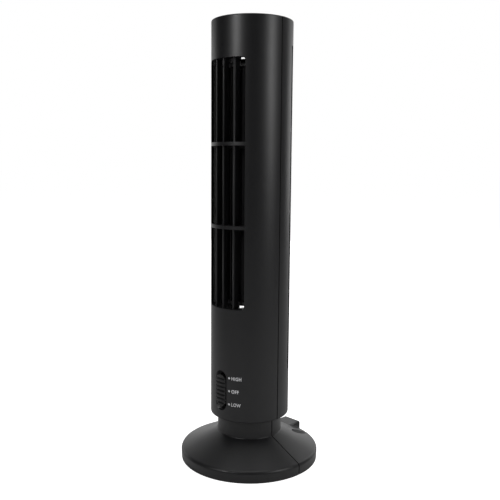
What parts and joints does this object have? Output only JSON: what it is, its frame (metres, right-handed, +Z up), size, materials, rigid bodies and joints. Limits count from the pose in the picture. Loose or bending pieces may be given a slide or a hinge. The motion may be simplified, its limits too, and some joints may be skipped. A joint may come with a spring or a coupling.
{
  "type": "tower fan",
  "caption": "Small desk tower fan: slim round tower on a wide conical base, with a slotted grille, a cross-flow impeller inside and a sliding speed switch.",
  "frame": {"origin": "on the floor, on the tower's axis", "axes": "+Z up the tower, -Y towards the grille and switch at the front, +X to the right as seen from the front"},
  "size_m": [0.106, 0.106, 0.33],
  "materials": {
    "housing_black": "satin",
    "knob_black": "fine satin",
    "impeller_black": "satin",
    "frame_plastic": "moulded",
    "foot_rubber": "matt",
    "damper_rubber": "matt",
    "ballast_steel": "zinc plated",
    "screw_steel": "zinc plated",
    "shaft_steel": "ground",
    "motor_steel": "plated",
    "rotor_steel": "laminated",
    "magnet": "ferrite",
    "bronze": "sintered",
    "contact_metal": "tinned",
    "switch_nylon": "nylon",
    "switch_board": "phenolic board",
    "resistor_ceramic": "cement",
    "wire_sleeve": "insulation"
  },
  "bodies": {
    "housing": {"ballast_plate": "ballast_steel", "ballast_screws": "screw_steel", "base_screws": "screw_steel", "bearing_bracket": "frame_plastic", "bearing_screws": "screw_steel", "bearing_sleeve": "damper_rubber", "bottom_cover": "housing_black", "bracket_screws": "screw_steel", "cover_screws": "screw_steel", "front_shell": "housing_black", "jack_pin": "contact_metal", "jack_spring": "contact_metal", "motor_bracket": "frame_plastic", "motor_bushes": "bronze", "motor_can": "motor_steel", "motor_damper": "damper_rubber", "motor_end_cap": "frame_plastic", "motor_magnets": "magnet", "motor_screws": "screw_steel", "motor_terminals": "contact_metal", "motor_wire": "wire_sleeve", "power_jack": "frame_plastic", "rear_shell": "housing_black", "rubber_feet": "foot_rubber", "speed_resistor": "resistor_ceramic", "supply_wires": "wire_sleeve", "switch_base": "switch_board", "switch_frame": "motor_steel", "switch_screws": "screw_steel", "switch_terminals": "contact_metal", "top_bush": "bronze", "tower_screws": "screw_steel"},
    "impeller": {"impeller_lower": "impeller_black", "impeller_middle": "impeller_black", "impeller_upper": "impeller_black", "impeller_end_disc": "impeller_black", "top_shaft": "shaft_steel", "motor_shaft": "shaft_steel", "motor_rotor": "rotor_steel", "commutator": "contact_metal"},
    "switch": {"switch_knob": "knob_black", "switch_slider": "switch_nylon"}
  },
  "joints": [
    {"name": "impeller_spin", "type": "hinge", "parent": "housing", "child": "impeller", "pos_m": [0, 0, 0.123], "axis": [0, 0, 1], "continuous": true},
    {"name": "switch_slide", "type": "slide", "parent": "housing", "child": "switch", "axis": [0, 0, 1], "range_m": [-0.003, 0.003]}
  ]
}
